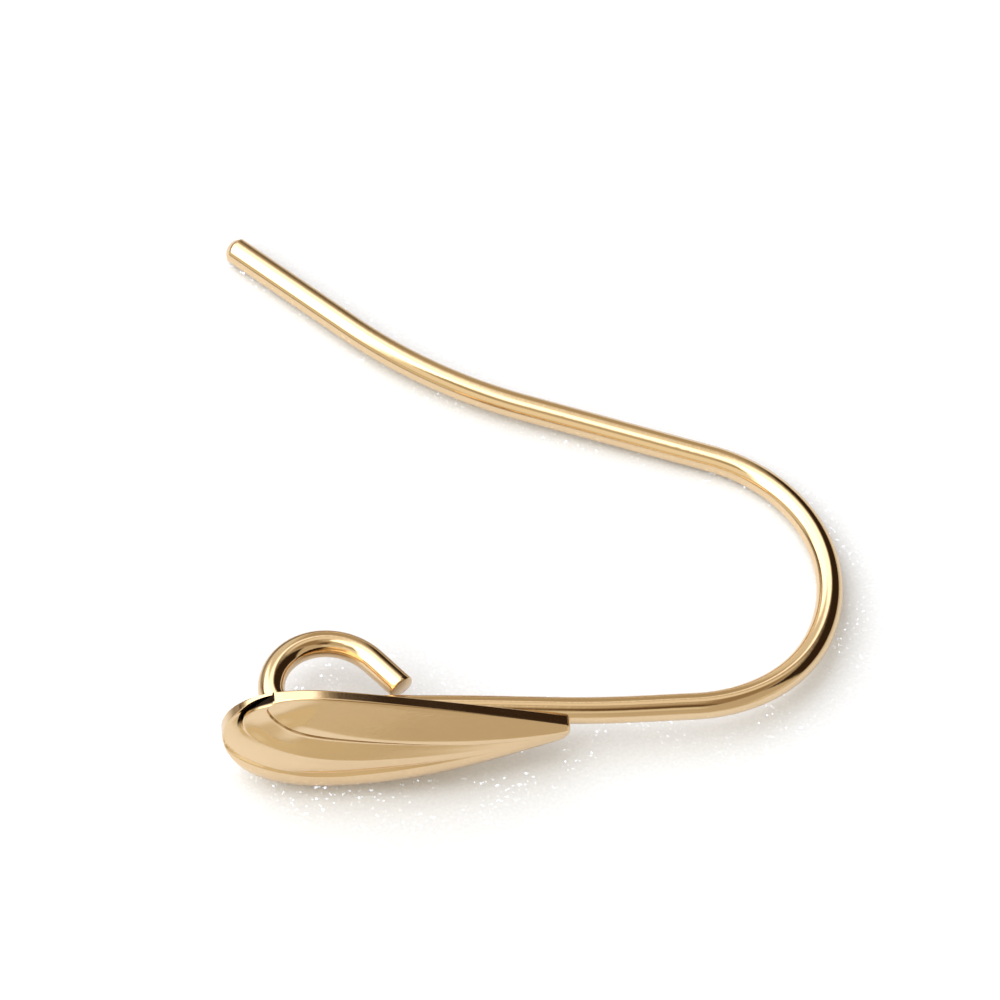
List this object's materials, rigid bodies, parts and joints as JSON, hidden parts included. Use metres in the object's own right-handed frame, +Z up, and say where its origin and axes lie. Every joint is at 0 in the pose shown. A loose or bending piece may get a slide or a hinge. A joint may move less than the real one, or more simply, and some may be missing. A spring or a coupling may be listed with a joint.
{
  "type": "ear wire",
  "caption": "Fish-hook ear wire with a petalled leaf along its straight leg and a small open loop that a drop hangs from.",
  "frame": {"origin": "centre of the box's bottom face, on the surface that the ear wire lies on", "axes": "+Z up; +X along the straight leg towards the ear bend; +Y from the straight leg to the back leg"},
  "size_m": [0.0192, 0.0188, 0.0038],
  "materials": {
    "gold_plate": "polished gold plate"
  },
  "bodies": {
    "root": {"ear_wire": "gold_plate"}
  },
  "joints": []
}
